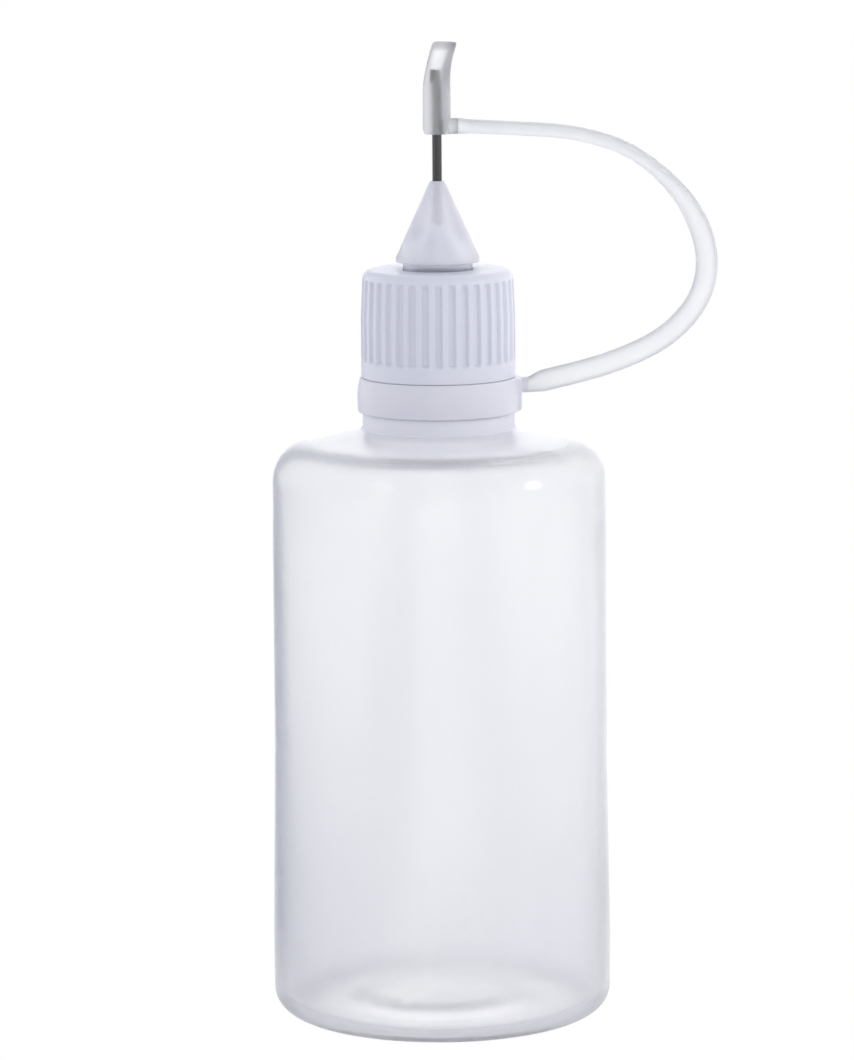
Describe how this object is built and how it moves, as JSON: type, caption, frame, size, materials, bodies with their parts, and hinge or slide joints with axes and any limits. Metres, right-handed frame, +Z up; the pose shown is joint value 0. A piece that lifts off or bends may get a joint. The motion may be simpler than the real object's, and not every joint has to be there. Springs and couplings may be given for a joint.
{
  "type": "glue applicator bottle",
  "caption": "Translucent squeeze bottle with a ribbed screw cap, a cone nozzle with a blunt steel needle, and a soft needle cap tied to the neck by a clear cord.",
  "frame": {"origin": "centre of the base, on the surface that the bottle stands on", "axes": "+Z up along the bottle's axis towards the needle, +X towards the side where the cord leaves the ring, -Y towards the viewer of the front"},
  "size_m": [0.043, 0.0326, 0.0938],
  "materials": {
    "bottle_ldpe": "translucent natural polyethylene, soft gloss",
    "cap_plastic": "translucent bluish white moulded plastic, satin",
    "nozzle_plastic": "translucent bluish white moulded plastic, satin",
    "needle_steel": "drawn stainless tube, dark satin",
    "washer_foam": "white closed-cell foam, matte",
    "ring_plastic": "translucent greyish white soft plastic, smooth",
    "tether_clear": "clear soft vinyl, smooth",
    "needle_cap_clear": "clear soft vinyl, smooth"
  },
  "bodies": {
    "bottle": {"bottle": "bottle_ldpe"},
    "nozzle": {"nozzle": "nozzle_plastic", "needle": "needle_steel", "sealing_washer": "washer_foam"},
    "cap": {"screw_cap": "cap_plastic"},
    "tether": {"tether_ring": "ring_plastic", "tether_cord": "tether_clear"},
    "needle_cap": {"needle_cap": "needle_cap_clear"}
  },
  "joints": [
    {"name": "cap_lift", "type": "slide", "parent": "bottle", "child": "nozzle", "axis": [0, 0, 1], "range_m": [0, 0.00423]},
    {"name": "cap_turn", "type": "hinge", "parent": "nozzle", "child": "cap", "pos_m": [0, 0, 0.065], "axis": [0, 0, 1], "range_deg": [0, 720]},
    {"name": "ring_swivel", "type": "hinge", "parent": "nozzle", "child": "tether", "pos_m": [0, 0, 0.06], "axis": [0, 0, 1], "continuous": true},
    {"name": "needle_cap_pull", "type": "slide", "parent": "tether", "child": "needle_cap", "axis": [0, 0, 1], "range_m": [0, 0.012]}
  ],
  "couplings": [
    {"joint": "cap_turn", "follows": "cap_lift", "rad_per_m": 2968.4}
  ]
}
